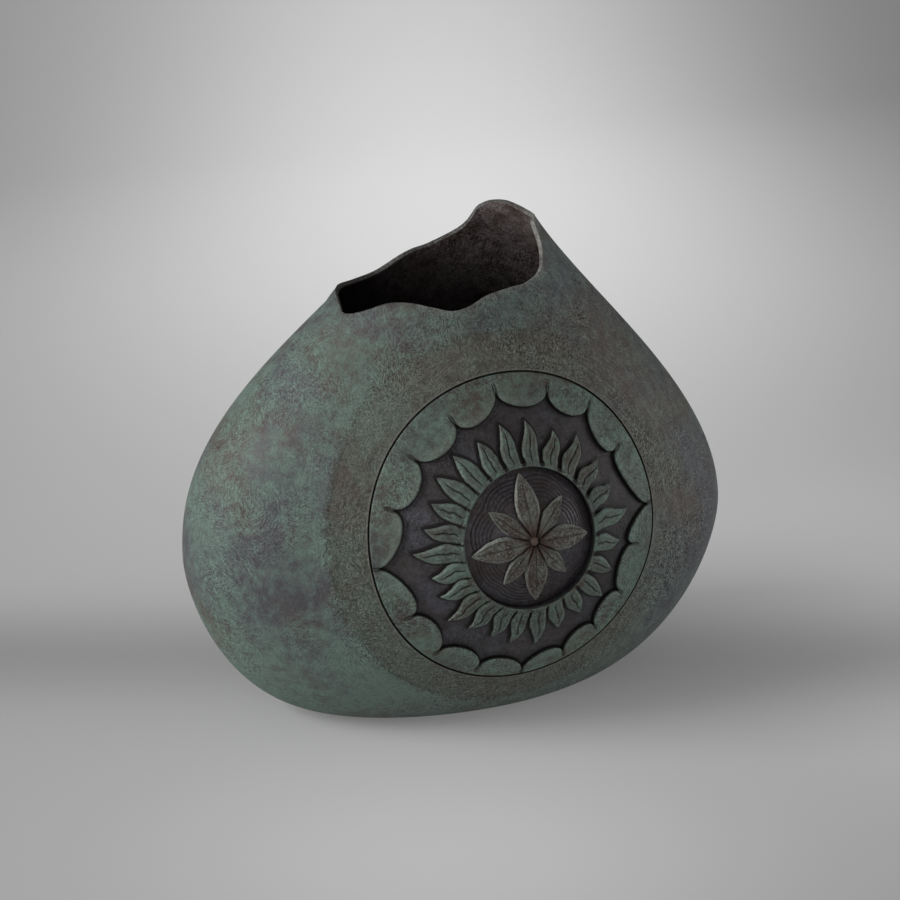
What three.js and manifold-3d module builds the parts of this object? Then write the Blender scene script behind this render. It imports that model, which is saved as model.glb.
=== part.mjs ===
// A flattened bronze flower vase. Its mouth is cut to a wavy slanting lip, and a round medallion,
// a sun of flame leaves round a bowl with an eight-petalled flower, is let into its front.
// Millimetres, +Z up, the medallion looks along -Y, and the foot stands on z = 0.

import * as THREE from 'three';
import { ParametricGeometry } from 'three/addons/geometries/ParametricGeometry.js';
import { mergeVertices } from 'three/addons/utils/BufferGeometryUtils.js';
import Module from 'manifold-3d';

const wasm = await Module();
wasm.setup();

// Body outline: half widths at the foot, the belly and the mouth, and how the curves between run
const halfWidth = 150;
const halfDepth = 84.8;
const left = {
  foot: 80.3, footCurve: 1.6, belly: halfWidth, bellyHeight: 87.2,
  shoulderCurve: 2.34, neckCurve: 1.57, mouth: 32.8, top: 255.2,
};
const right = {
  foot: 65.7, footCurve: 1.65, belly: halfWidth, bellyHeight: 87.5,
  shoulderCurve: 1.85, neckCurve: 1.67, mouth: 29.2, top: 279.6,
};
const depth = {
  foot: 41.1, footCurve: 2.17, belly: halfDepth, bellyHeight: 89.8,
  shoulderCurve: 1.6, neckCurve: 1.16, mouth: 24.8, top: 255.2,
};

// Lip: its height at each angle round the mouth, in degrees from +X towards +Y
const lipHeights = [
  [0, 252.8], [10, 253.6], [19, 255.1], [33, 257], [48, 256.5], [57, 254.5], [62, 252],
  [70, 244.2], [77, 239.5], [93, 232.4], [103, 230.2], [110, 227.2], [121, 220.8],
  [136, 219.7], [150, 220.8], [160, 221.3], [168, 220.3], [178, 218.8], [187, 217.2],
  [194, 215.3], [200, 215.4], [207, 217.3], [218, 221.5], [230, 222.2], [244, 219.9],
  [252, 218.3], [259, 219.6], [268, 223.7], [280, 226], [289, 226.7], [295, 228],
  [301, 229.7], [306, 232.2], [312, 236.4], [317, 240.3], [322, 244.8], [327, 249.4],
  [332, 252.3], [340, 253], [350, 252.6],
];
const lipThickness = 2.4;
const lipRound = 0.9;

// The lip's left end is drawn out to a small corner
const cornerTurn = 158;
const cornerSpread = 22;
const cornerReach = 2.6;
const cornerFrom = 213;
const cornerFull = 219.5;

// Casting
const wall = 3;
const thickenedBelow = 45;
const floorThickness = 6.4;
const innerFloorStart = 3.4;

// Foot: a flat land round an opening, which a plate closes from below
const landWidth = 14;
const plateLedge = 4;
const plateThickness = 2.2;
const plateRecess = 1.8;
const plateGap = 0.3;
const plateEdge = 0.4;
const sealWidth = 2;
const sealHeight = 1;

// Medallion: where it sits, its radius, and how far the belly swells out to it
const medallionX = -1.7;
const medallionZ = 112.2;
const seatRadius = 78;
const seatDepth = 7;
const swell = 18.9;
const swellReach = 111;
const bowlLift = 1.3;
const backingMargin = 3;
const backingFade = 13;
const fitGap = 0.3;
const leafGap = 0.5;

// Medallion levels, from the belly's own surface, outwards positive
const groundLevel = -2.8;
const borderLevel = 0;
const collarLevel = -0.4;
const flameCrown = 0;
const petalCrown = 0.3;

// Scalloped border: round lobes that meet in cusps, which stand unevenly, as laid out by hand.
// Each cusp has its angle in degrees and its share of the usual room outside it.
const grooveWidth = 1;
const cuspRoom = 7;
const cusps = [
  [1.6, 0.24], [30.5, 1.56], [51.4, 0.86], [72, 0.96], [95.3, 0.97], [117.5, 1.63],
  [140.7, 1.37], [163.2, 1.21], [187, 0.23], [210, 1.13], [231, 0.7], [250.9, 0.67],
  [271, 0.23], [289.2, 0.61], [305.8, 1.03], [324, 1.41], [346.7, 1.9],
];
const lobeDepth = 8.6;
const borderEdge = 0.6;

// Leaves: how fast they fill out to their full width, and where across it their ridges run
const leafFullness = 0.85;
const ridgePlace = 0.55;

// Flame leaves: the plain ones end short of the lobes by flameRoom, eight reach further, and of these
// the slanting ones less far. They bend one way at the upper right and the other at the lower left.
const flameCount = 25;
const flameRoom = 8.9;
const flameLength = 15.3;
const flameHalfWidth = 4.6;
const flameWidthVary = 0.3;
const flameWidthWaves = 20;
const flameWedge = 6.4;
const flameRootFullness = 0.3;
const flameReach = 7;
const flameReachWaves = 8;
const flameSlantCut = 0.4;
const flameTurn = 93;
const flameDrift = 6;
const flameDriftFrom = 130;
const flameHandTurn = 45;
const flameSway = 1.1;
const flameLean = 2.4;
const flameTipDrop = 0.4;
const flameEdgeDrop = 0.9;
const ribDepth = 0.7;

// Collar, and the bowl inside it, which takes the room that is left
const collarWidth = 1.8;
const borderRadius = seatRadius - grooveWidth;
const flameTip = borderRadius - cuspRoom - lobeDepth - flameRoom;
const flameRoot = flameTip - flameLength;
const bowlRadius = flameRoot - fitGap - collarWidth;
const bowlEdgeLevel = -4.6;
const bowlCrownLevel = -2.4;
const bowlEdgeWidth = 1.4;

// Flower: its place from the bowl's middle, to the right and up. Its petals end short of the bowl's
// edge and stand unevenly, and each leaves room for its nearer neighbour.
const flowerPlace = [-0.7, 1.3];
const petalCount = 8;
const petalRootFullness = 0.06;
const bossRadius = 2.4;
const bossRound = 0.7;
const bossSink = 0.2;
const bossShoulderDrop = 0.4;
const bossEdgeDrop = 1;
const longPetalRoom = 3.6;
const longPetalTip = bowlRadius - longPetalRoom;
const longPetalHalfWidth = 6.2;
const longPetalWedge = 26;
const shortPetalShare = 0.825;
const shortPetalTip = longPetalTip * shortPetalShare;
const shortPetalHalfWidth = 4.3;
const shortPetalWedge = 19;
const petalTurn = 3.2;
const petalDrift = 7;
const petalDriftFrom = 170;
const petalTipDrop = 1.6;
const petalEdgeDrop = 1.1;

// Fineness of the faceting
const bodySectors = 64;
const outerRows = 20;
const innerRows = 12;
const lobeSteps = 8;
const discSectors = 64;
const leafSteps = 8;
const plateSegments = 24;
const bossSectors = 16;
const domeSteps = 4;
const rowCrowding = 1.7;

// How far the tool that cuts the seat stands out of the belly
const seatToolProud = 30;

const degree = Math.PI / 180;
const seamTolerance = 0.001;

function reachAt(height, side) {
  if (height < side.bellyHeight) {
    const below = 1 - height / side.bellyHeight;
    const rise = Math.sqrt(1 - below ** side.footCurve);
    return side.foot + (side.belly - side.foot) * rise;
  }
  const above = Math.min(1, (height - side.bellyHeight) / (side.top - side.bellyHeight));
  const fall = (1 - above ** side.shoulderCurve) ** side.neckCurve;
  return side.mouth + (side.belly - side.mouth) * fall;
}

// The lip is a smooth closed curve through its heights
function lipAt(angle) {
  const turn = turnOf(angle);
  const count = lipHeights.length;
  const point = (index) => {
    const lap = Math.floor(index / count);
    const [at, height] = lipHeights[index - lap * count];
    return [at + 360 * lap, height];
  };
  let index = count - 1;
  while (index > 0 && lipHeights[index][0] > turn) {
    index -= 1;
  }
  const [before, start, end, after] = [index - 1, index, index + 1, index + 2].map(point);
  const span = end[0] - start[0];
  const startSlope = (end[1] - before[1]) / (end[0] - before[0]);
  const endSlope = (after[1] - start[1]) / (after[0] - start[0]);
  const t = (turn - start[0]) / span;
  return (2 * t ** 3 - 3 * t ** 2 + 1) * start[1] + (t ** 3 - 2 * t ** 2 + t) * span * startSlope
    + (3 * t ** 2 - 2 * t ** 3) * end[1] + (t ** 3 - t ** 2) * span * endSlope;
}

// The belly swells out smoothly round the medallion
function swellAt(x, z) {
  const square = ((x - medallionX) ** 2 + (z - medallionZ) ** 2) / swellReach ** 2;
  return square < 1 ? swell * (1 - square) ** 2 : 0;
}

function turnOf(angle) {
  return (((angle / degree) % 360) + 360) % 360;
}

function cornerAt(angle, height) {
  const away = Math.min(1, Math.abs(turnOf(angle) - cornerTurn) / cornerSpread);
  return cornerReach * (1 - away ** 2) ** 2 * smoothStep(cornerFrom, cornerFull, height);
}

function skinPoint(angle, height) {
  const side = Math.cos(angle) > 0 ? right : left;
  const x = reachAt(height, side) * Math.cos(angle) - cornerAt(angle, height);
  let y = reachAt(height, depth) * Math.sin(angle);
  if (y < 0) {
    y -= swellAt(x, height);
  }
  return new THREE.Vector3(x, y, height);
}

// How far the front of the belly stands from the middle plane, at a point seen from the front
function frontDepth(x, z) {
  const across = x / reachAt(z, x > 0 ? right : left);
  return reachAt(z, depth) * Math.sqrt(1 - across ** 2) + swellAt(x, z);
}

function smoothStep(from, to, value) {
  return THREE.MathUtils.smoothstep(value, Math.min(from, to), Math.max(from, to));
}

// The inside follows the skin at the wall's thickness, and stands further back behind the seat
function innerPoint(angle, height, thickness) {
  const step = 0.05;
  const low = Math.max(height - step, step);
  const point = skinPoint(angle, height);
  const round = skinPoint(angle + step * degree, height).sub(skinPoint(angle - step * degree, height));
  const up = skinPoint(angle, height + step).sub(skinPoint(angle, low));
  const outward = round.cross(up).normalize();
  const inner = point.clone().addScaledVector(outward, -thickness);
  if (point.y < 0) {
    const radius = Math.hypot(point.x - medallionX, point.z - medallionZ);
    const edge = seatRadius + backingMargin;
    inner.y += seatDepth * (1 - smoothStep(edge, edge + backingFade, radius));
  }
  return inner;
}

function keepWhole(geometry) {
  geometry.deleteAttribute('normal');
  geometry.deleteAttribute('uv');
  const merged = mergeVertices(geometry, seamTolerance);
  const corners = merged.index.array;
  const kept = [];
  for (let i = 0; i < corners.length; i += 3) {
    const [a, b, c] = corners.slice(i, i + 3);
    if (a !== b && b !== c && c !== a) {
      kept.push(a, b, c);
    }
  }
  merged.setIndex(kept);
  return faceOutward(merged);
}

function faceOutward(geometry) {
  const place = geometry.attributes.position;
  const corners = Array.from(geometry.index.array);
  const [a, b, c] = [new THREE.Vector3(), new THREE.Vector3(), new THREE.Vector3()];
  let volume = 0;
  for (let i = 0; i < corners.length; i += 3) {
    a.fromBufferAttribute(place, corners[i]);
    b.fromBufferAttribute(place, corners[i + 1]);
    c.fromBufferAttribute(place, corners[i + 2]);
    volume += a.dot(b.cross(c));
  }
  if (volume < 0) {
    for (let i = 0; i < corners.length; i += 3) {
      [corners[i], corners[i + 1]] = [corners[i + 1], corners[i]];
    }
    geometry.setIndex(corners);
  }
  geometry.computeVertexNormals();
  return geometry;
}

// A closed skin over rows of points, each row going once round
function wrapRows(rowCount, sectors, placeAt) {
  const place = (across, along, target) => {
    const row = Math.round(along * rowCount) % rowCount;
    target.copy(placeAt(row, across));
  };
  return keepWhole(new ParametricGeometry(place, sectors, rowCount));
}

// The same between two end points
function capRows(rowCount, sectors, placeAt) {
  const place = (across, along, target) => {
    target.copy(placeAt(Math.round(along * (rowCount - 1)), across));
  };
  return keepWhole(new ParametricGeometry(place, sectors, rowCount - 1));
}

function toSolid(geometry) {
  return new wasm.Manifold(new wasm.Mesh({
    numProp: 3,
    vertProperties: new Float32Array(geometry.attributes.position.array),
    triVerts: new Uint32Array(geometry.index.array),
  }));
}

function fromSolid(solid) {
  const mesh = solid.getMesh();
  const geometry = new THREE.BufferGeometry();
  geometry.setAttribute('position', new THREE.BufferAttribute(mesh.vertProperties, 3));
  geometry.setIndex(new THREE.BufferAttribute(mesh.triVerts, 1));
  geometry.computeVertexNormals();
  return geometry;
}

// A point of the medallion: radius and angle as seen from the front, and level from the belly.
// The bowl, and what is near it, sits a little above the middle.
function medallionPoint(radius, angle, level) {
  const lift = bowlLift * (1 - smoothStep(bowlRadius, seatRadius, radius));
  const x = medallionX + radius * Math.cos(angle);
  const z = medallionZ + lift + radius * Math.sin(angle);
  return new THREE.Vector3(x, -frontDepth(x, z) - level, z);
}

// The same round another middle, which lies at place
function pointRound(place, radius, angle, level) {
  const x = place[0] + radius * Math.cos(angle);
  const z = place[1] + radius * Math.sin(angle);
  return medallionPoint(Math.hypot(x, z), Math.atan2(z, x), level);
}

function medallionDisc(rows, sectors = discSectors, place = [0, 0]) {
  return capRows(rows.length, sectors, (row, across) => {
    const [radius, level] = rows[row];
    return pointRound(place, radius, across * 2 * Math.PI, level);
  });
}

function medallionRing(rows, sectors = discSectors) {
  return wrapRows(rows.length, sectors, (row, across) => {
    const [radius, level] = rows[row];
    return medallionPoint(radius, across * 2 * Math.PI, level);
  });
}

// Body shell: one closed wall from the foot's land, up the skin, over the lip and down inside
function landPoint(angle, inset, height) {
  const side = Math.cos(angle) > 0 ? right : left;
  const x = (side.foot - inset) * Math.cos(angle);
  const y = (depth.foot - inset) * Math.sin(angle);
  return new THREE.Vector3(x, y, height);
}

function shellRows() {
  const ledgeHeight = plateRecess + plateThickness + plateGap;
  const rows = [
    (angle) => landPoint(angle, landWidth + plateLedge, ledgeHeight),
    (angle) => landPoint(angle, landWidth, ledgeHeight),
    (angle) => landPoint(angle, landWidth, 0),
    (angle) => landPoint(angle, 0, 0),
  ];
  for (let i = 1; i <= outerRows; i += 1) {
    const share = (i / outerRows) ** rowCrowding;
    rows.push((angle) => skinPoint(angle, (lipAt(angle) - lipRound) * share));
  }
  rows.push((angle) => innerPoint(angle, lipAt(angle), lipThickness / 2));
  for (let i = 0; i <= innerRows; i += 1) {
    const share = (1 - i / innerRows) ** rowCrowding;
    rows.push((angle) => {
      const top = lipAt(angle) - lipRound;
      const height = innerFloorStart + (top - innerFloorStart) * share;
      const thick = smoothStep(0, thickenedBelow, top - height);
      const point = innerPoint(angle, height, lipThickness + (wall - lipThickness) * thick);
      return i < innerRows ? point : point.setZ(floorThickness);
    });
  }
  rows.push((angle) => landPoint(angle, landWidth + plateLedge, floorThickness));
  return rows;
}

function bodyShell() {
  const rows = shellRows();
  const shell = wrapRows(rows.length, bodySectors, (row, across) => rows[row](across * 2 * Math.PI));
  const rings = [0, bowlRadius / 2, bowlRadius, (bowlRadius + seatRadius) / 2, seatRadius];
  const floor = rings.map((radius) => [radius, -seatDepth]);
  const open = rings.map((radius) => [radius, seatToolProud]).reverse();
  const seat = medallionDisc([...floor, ...open]);
  return fromSolid(toSolid(shell).subtract(toSolid(seat)));
}

function footOutline(inset) {
  const shape = new THREE.Shape();
  const quarter = Math.PI / 2;
  shape.absellipse(0, 0, right.foot - inset, depth.foot - inset, -quarter, quarter);
  shape.absellipse(0, 0, left.foot - inset, depth.foot - inset, quarter, 3 * quarter);
  return shape;
}

// Base plate: let into the foot against its ledge
function basePlate() {
  const plate = new THREE.ExtrudeGeometry(footOutline(landWidth + plateGap + plateEdge), {
    depth: plateThickness - 2 * plateEdge,
    bevelSize: plateEdge,
    bevelThickness: plateEdge,
    bevelSegments: 1,
    curveSegments: plateSegments,
  });
  plate.translate(0, 0, plateRecess + plateEdge);
  return keepWhole(plate);
}

// Base seal: the bead of solder round the plate, in the corner below it
function baseSeal() {
  const top = plateRecess - plateGap;
  const corners = [
    [plateGap, top], [plateGap, top - sealHeight], [plateGap + sealWidth / 2, top - sealHeight / 2],
    [plateGap + sealWidth, top],
  ];
  return wrapRows(corners.length, discSectors, (row, across) => {
    const [inset, height] = corners[row];
    return landPoint(across * 2 * Math.PI, landWidth + inset, height);
  });
}

// Medallion ground: the domed disc on the seat, open in the middle for the bowl
function medallionGround() {
  const bottom = fitGap - seatDepth;
  const outer = seatRadius - fitGap;
  const middle = (bowlRadius + seatRadius) / 2;
  return medallionRing([
    [bowlRadius, bottom], [bowlRadius, groundLevel], [middle, groundLevel],
    [outer, groundLevel], [outer, bottom], [middle, bottom],
  ]);
}

function cuspAt(index) {
  const lap = Math.floor(index / cusps.length);
  const [turn, share] = cusps[index - lap * cusps.length];
  return [(turn + 360 * lap) * degree, borderRadius - cuspRoom * share];
}

function scallopAt(index, share) {
  const [from, fromReach] = cuspAt(index);
  const [to, toReach] = cuspAt(index + 1);
  const round = Math.sqrt(1 - (2 * share - 1) ** 2);
  const angle = from + (to - from) * share;
  const reach = fromReach + (toReach - fromReach) * share;
  return { angle, radius: reach - lobeDepth * round };
}

// Scalloped border: a ring whose inner edge is a chain of round lobes
function scallopedBorder() {
  const bottom = groundLevel + fitGap;
  const rows = [[0, 0, bottom], [0, 0, borderLevel - borderEdge], [0, borderEdge, borderLevel],
    [1, -borderEdge, borderLevel], [1, 0, borderLevel - borderEdge], [1, 0, bottom]];
  const steps = cusps.length * lobeSteps;
  return wrapRows(rows.length, steps, (row, across) => {
    const step = Math.round(across * steps) % steps;
    const index = Math.floor(step / lobeSteps);
    const spread = 0.5 - 0.5 * Math.cos(Math.PI * ((step % lobeSteps) / lobeSteps));
    const edge = scallopAt(index, spread);
    const [side, shift, level] = rows[row];
    return medallionPoint((side ? borderRadius : edge.radius) + shift, edge.angle, level);
  });
}

// Collar: the narrow ring round the bowl, from which the flames spring
function bowlCollar() {
  const bottom = groundLevel + fitGap;
  const outer = bowlRadius + collarWidth;
  return medallionRing([
    [bowlRadius, bottom], [bowlRadius, collarLevel - borderEdge], [bowlRadius + borderEdge, collarLevel],
    [outer, collarLevel], [outer, bottom],
  ]);
}

// Flower bowl: a dish whose floor is a low dome behind a sunk edge
function flowerBowl() {
  const bottom = fitGap - seatDepth;
  const outer = bowlRadius - fitGap;
  const rows = [[0, bottom], [bowlRadius / 2, bottom], [outer, bottom], [outer, bowlEdgeLevel]];
  const domeRadius = outer - bowlEdgeWidth;
  for (let i = 0; i <= domeSteps; i += 1) {
    const share = 1 - i / domeSteps;
    rows.push([domeRadius * share, domeLevel(domeRadius * share)]);
  }
  return medallionDisc(rows);
}

function domeLevel(radius) {
  const domeRadius = bowlRadius - fitGap - bowlEdgeWidth;
  return bowlCrownLevel + (bowlEdgeLevel - bowlCrownLevel) * (radius / domeRadius) ** 2;
}

// A leaf: its section is a crowned ridge on each side of a sunk rib, and it narrows to a tip
function leaf(shape) {
  const { place, root, tip, turn, wedge, halfWidth, rootFullness } = shape;
  const { axis, crownAt, bottomAt, edgeDrop } = shape;
  const section = [
    [-1, null], [-1, -edgeDrop], [-ridgePlace, 0], [0, -ribDepth], [ridgePlace, 0], [1, -edgeDrop],
    [1, null],
  ];
  const rowCount = leafSteps + 3;
  return capRows(rowCount, section.length, (row, across) => {
    const corner = Math.round(across * section.length) % section.length;
    const share = THREE.MathUtils.clamp((row - 1) / (leafSteps + 1), 0, 1);
    const along = root + (tip - root) * share;
    const isEnd = row === 0 || row === rowCount - 1;
    const filled = rootFullness + (1 - rootFullness) * share;
    const fullness = Math.sin(Math.PI * filled) ** leafFullness;
    const room = along * Math.tan(wedge * degree) - fitGap / 2;
    const spread = isEnd ? 0 : Math.min(halfWidth * fullness, room);
    const [side, drop] = section[corner];
    const level = isEnd || drop === null ? bottomAt(share) : crownAt(share) + drop;
    const sideways = axis(share) + side * spread;
    const radius = Math.hypot(along, sideways);
    const angle = turn + Math.atan2(sideways, along);
    return pointRound(place, radius, angle, isEnd ? (crownAt(share) + bottomAt(share)) / 2 : level);
  });
}

function flameLeaf(index) {
  const even = flameTurn - (360 / flameCount) * index;
  const turn = (even + flameDrift * Math.cos((even - flameDriftFrom) * degree)) * degree;
  const cut = 1 - flameSlantCut * Math.abs(Math.sin(2 * turn));
  const tip = flameTip + flameReach * cut * Math.max(0, Math.cos(flameReachWaves * turn));
  const hand = Math.cos(turn - flameHandTurn * degree);
  const bend = index % 2 ? flameLean : flameLean / 2;
  return leaf({
    place: [0, 0],
    root: flameRoot,
    tip,
    turn,
    wedge: flameWedge,
    halfWidth: flameHalfWidth + flameWidthVary * Math.cos(flameWidthWaves * turn),
    rootFullness: flameRootFullness,
    axis: (share) => hand * (bend * share ** 2 + flameSway * Math.sin(2 * Math.PI * share)),
    crownAt: (share) => flameCrown - flameTipDrop * share ** 3,
    bottomAt: () => groundLevel + leafGap,
    edgeDrop: flameEdgeDrop,
  });
}

function petalAngle(index) {
  const even = (360 / petalCount) * index;
  return petalTurn + even + petalDrift * Math.cos((even - petalDriftFrom) * degree);
}

function petal(index) {
  const isLong = index % 2 === 0;
  const tip = isLong ? longPetalTip : shortPetalTip;
  const root = bossRadius + fitGap;
  const turn = petalAngle(index);
  const nearest = Math.min(petalAngle(index + 1) - turn, turn - petalAngle(index - 1));
  const crowding = Math.min(1, nearest * (petalCount / 360));
  return leaf({
    place: flowerPlace,
    root,
    tip,
    turn: turn * degree,
    wedge: crowding * (isLong ? longPetalWedge : shortPetalWedge),
    halfWidth: isLong ? longPetalHalfWidth : shortPetalHalfWidth,
    rootFullness: petalRootFullness,
    axis: () => 0,
    crownAt: (share) => petalCrown - petalTipDrop * share ** 2,
    bottomAt: (share) => domeLevel(root + (tip - root) * share) + leafGap,
    edgeDrop: petalEdgeDrop,
  });
}

// Flower boss: the small round button that the petals spring from
function flowerBoss() {
  const bottom = bowlCrownLevel + fitGap;
  return medallionDisc([
    [0, bottom], [bossRadius, bottom], [bossRadius, petalCrown - bossEdgeDrop],
    [bossRadius - bossRound, petalCrown - bossShoulderDrop], [0, petalCrown - bossSink],
  ], bossSectors, flowerPlace);
}

function finish(color, roughness, metalness) {
  return new THREE.MeshStandardMaterial({ color, roughness, metalness });
}

const finishes = {
  shell: () => finish(0x4b5a54, 0.55, 0.6),
  base: () => finish(0x3a3a38, 0.6, 0.7),
  solder: () => finish(0x6b6c69, 0.5, 0.8),
  ground: () => finish(0x3c3b40, 0.6, 0.6),
  relief: () => finish(0x5b7166, 0.55, 0.5),
  bowl: () => finish(0x2b2729, 0.5, 0.6),
  flower: () => finish(0x55584f, 0.5, 0.6),
  boss: () => finish(0x3c2a26, 0.5, 0.6),
};

// The middle plane stands back by half the swell, so that front and back reach equally far
const vase = new THREE.Group();
vase.position.y = (frontDepth(medallionX, medallionZ) + petalCrown - halfDepth) / 2;

function add(name, geometry, material) {
  const mesh = new THREE.Mesh(geometry, material);
  mesh.name = name;
  vase.add(mesh);
}

add('body_shell', bodyShell(), finishes.shell());
add('base_plate', basePlate(), finishes.base());
add('base_seal', baseSeal(), finishes.solder());
add('medallion_ground', medallionGround(), finishes.ground());
add('scalloped_border', scallopedBorder(), finishes.relief());
add('bowl_collar', bowlCollar(), finishes.relief());
add('flower_bowl', flowerBowl(), finishes.bowl());
for (let i = 0; i < flameCount; i += 1) {
  add(`flame_${String(i + 1).padStart(2, '0')}`, flameLeaf(i), finishes.relief());
}
for (let i = 0; i < petalCount; i += 1) {
  add(`${i % 2 ? 'short' : 'long'}_petal_${Math.floor(i / 2) + 1}`, petal(i), finishes.flower());
}
add('flower_boss', flowerBoss(), finishes.boss());

export default vase;
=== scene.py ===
import math

import bmesh
import bpy
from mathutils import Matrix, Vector, kdtree, noise


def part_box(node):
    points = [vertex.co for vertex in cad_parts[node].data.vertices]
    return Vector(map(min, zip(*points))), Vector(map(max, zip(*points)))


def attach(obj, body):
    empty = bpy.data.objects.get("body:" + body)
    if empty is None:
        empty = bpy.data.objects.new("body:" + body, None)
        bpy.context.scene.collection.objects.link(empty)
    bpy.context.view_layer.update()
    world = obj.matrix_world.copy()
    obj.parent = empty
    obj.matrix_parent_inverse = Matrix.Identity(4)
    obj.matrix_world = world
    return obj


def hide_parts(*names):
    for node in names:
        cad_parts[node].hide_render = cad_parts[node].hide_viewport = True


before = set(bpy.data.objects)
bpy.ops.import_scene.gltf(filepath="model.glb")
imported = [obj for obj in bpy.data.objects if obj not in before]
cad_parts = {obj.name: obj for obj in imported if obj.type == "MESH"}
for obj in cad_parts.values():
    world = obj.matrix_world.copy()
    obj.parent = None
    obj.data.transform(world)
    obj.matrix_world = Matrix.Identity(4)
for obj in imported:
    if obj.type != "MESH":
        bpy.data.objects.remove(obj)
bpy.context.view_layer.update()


# Body shell: one thin-walled bronze casting, flattened front to back, with a small flat foot and a
# mouth cut to a wavy slanting lip. Its belly swells towards the medallion, which is let into a seat.
half_width = 0.14985
half_depth = 0.0848
left_side = dict(foot=0.0803, foot_curve=1.6, belly=half_width, belly_height=0.0872,
                 shoulder_curve=2.34, neck_curve=1.57, mouth=0.0328, top=0.2552)
right_side = dict(foot=0.0657, foot_curve=1.65, belly=half_width, belly_height=0.0875,
                  shoulder_curve=1.85, neck_curve=1.67, mouth=0.0292, top=0.2796)
front_and_back = dict(foot=0.0411, foot_curve=2.17, belly=half_depth, belly_height=0.0898,
                      shoulder_curve=1.6, neck_curve=1.16, mouth=0.0248, top=0.2552)
lip_heights = [
    (0, .2528), (10, .2536), (19, .2551), (33, .257), (48, .2565), (57, .2545), (62, .252),
    (70, .2442), (77, .2395), (93, .2324), (103, .2302), (110, .2272), (121, .2208),
    (136, .2197), (150, .2208), (160, .2213), (168, .2203), (178, .2188), (187, .2172),
    (194, .2153), (200, .2154), (207, .2173), (218, .2215), (230, .2222), (244, .2199),
    (252, .2183), (259, .2196), (268, .2237), (280, .226), (289, .2267), (295, .228),
    (301, .2297), (306, .2322), (312, .2364), (317, .2403), (322, .2448), (327, .2494),
    (332, .2523), (340, .253), (350, .2526),
]
corner_turn = 158
corner_spread = 22
corner_reach = 0.0026
corner_from = 0.213
corner_full = 0.2195
lip_thickness = 0.0024
lip_round = 0.0009
lip_flattened = 0.0003
lip_squareness = 0.45
lip_rub = 0.45
wall = 0.003
thickened_below = 0.045
floor_thickness = 0.0064
inner_floor_start = 0.0034
land_width = 0.014
land_edge = 0.0004
plate_ledge = 0.004
plate_thickness = 0.0022
plate_recess = 0.0018
plate_gap = 0.0003
medallion_x = -0.0017
medallion_z = 0.1122
seat_radius = 0.078
seat_depth = 0.007
bowl_radius = 0.0351
swell = 0.0189
swell_reach = 0.111
bowl_lift = 0.0013
backing_margin = 0.003
backing_fade = 0.013
middle_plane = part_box("body_shell")[1].y - half_depth
sharp_turn = 35
merged_within = 1e-6
shell_sectors = 288
foot_rows = 5
outer_rows = 96
inner_rows = 48
lip_rows = 8
row_crowding = 1.7
seat_rings = 24
seat_sectors = 256
above_seat = 0.03
shell_brown = (0.099, 0.085, 0.076)
shell_violet = (0.087, 0.085, 0.095)
shell_verdigris = (0.13, 0.182, 0.156)
band_width = 0.0205
band_fade = 0.003
band_raggedness = 0.003
band_brown = (0.1, 0.09, 0.076)
brink_darkness = 0.22
streaks_outwards = 900.0
streaks_round = 6.0
seat_rim_rub_and_highlight = (0.2, 0.19, 0.17)
seat_brown = (0.05, 0.038, 0.03)
lip_brown = (0.11, 0.098, 0.09)
lip_grey = (0.2, 0.2, 0.186)
lining_brown = (0.085, 0.06, 0.052)
lining_grey = (0.2, 0.168, 0.168)
lining_painted_shade = (0.004, 0.003, 0.003)


def smooth_step(start, end, value):
    share = min(1, max(0, (value - start) / (end - start)))
    return share * share * (3 - 2 * share)


def reach_at(height, side):
    """How far one side of the body reaches from the middle at a height."""
    if height < side["belly_height"]:
        below = 1 - height / side["belly_height"]
        rise = math.sqrt(max(0, 1 - below ** side["foot_curve"]))
        return side["foot"] + (side["belly"] - side["foot"]) * rise
    above = min(1, (height - side["belly_height"]) / (side["top"] - side["belly_height"]))
    fall = (1 - above ** side["shoulder_curve"]) ** side["neck_curve"]
    return side["mouth"] + (side["belly"] - side["mouth"]) * fall


def lip_at(angle):
    """The lip's height, on a smooth curve through lip_heights."""
    turn = math.degrees(angle) % 360
    count = len(lip_heights)

    def point(index):
        at, height = lip_heights[index % count]
        return at + 360 * (index // count), height

    index = max(i for i in range(count) if lip_heights[i][0] <= turn)
    before, start, end, after = (point(index + step) for step in (-1, 0, 1, 2))
    span = end[0] - start[0]
    start_slope = (end[1] - before[1]) / (end[0] - before[0])
    end_slope = (after[1] - start[1]) / (after[0] - start[0])
    t = (turn - start[0]) / span
    return ((2 * t ** 3 - 3 * t ** 2 + 1) * start[1] + (t ** 3 - 2 * t ** 2 + t) * span * start_slope
            + (3 * t ** 2 - 2 * t ** 3) * end[1] + (t ** 3 - t ** 2) * span * end_slope)


def swell_at(x, z):
    """How far the front swells out behind the medallion."""
    square = ((x - medallion_x) ** 2 + (z - medallion_z) ** 2) / swell_reach ** 2
    return swell * (1 - square) ** 2 if square < 1 else 0


def corner_at(angle, height):
    """How far the small corner at the left end of the lip stands out."""
    away = min(1, abs(math.degrees(angle) % 360 - corner_turn) / corner_spread)
    return corner_reach * (1 - away ** 2) ** 2 * smooth_step(corner_from, corner_full, height)


def skin_point(angle, height):
    side = right_side if math.cos(angle) > 0 else left_side
    x = reach_at(height, side) * math.cos(angle) - corner_at(angle, height)
    y = reach_at(height, front_and_back) * math.sin(angle)
    if y < 0:
        y -= swell_at(x, height)
    return Vector((x, y + middle_plane, height))


def outward_at(angle, height):
    step = 0.0001
    turn = math.radians(0.05)
    low = max(height - step, step)
    around = skin_point(angle + turn, height) - skin_point(angle - turn, height)
    up = skin_point(angle, height + step) - skin_point(angle, low)
    return around.cross(up).normalized()


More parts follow.
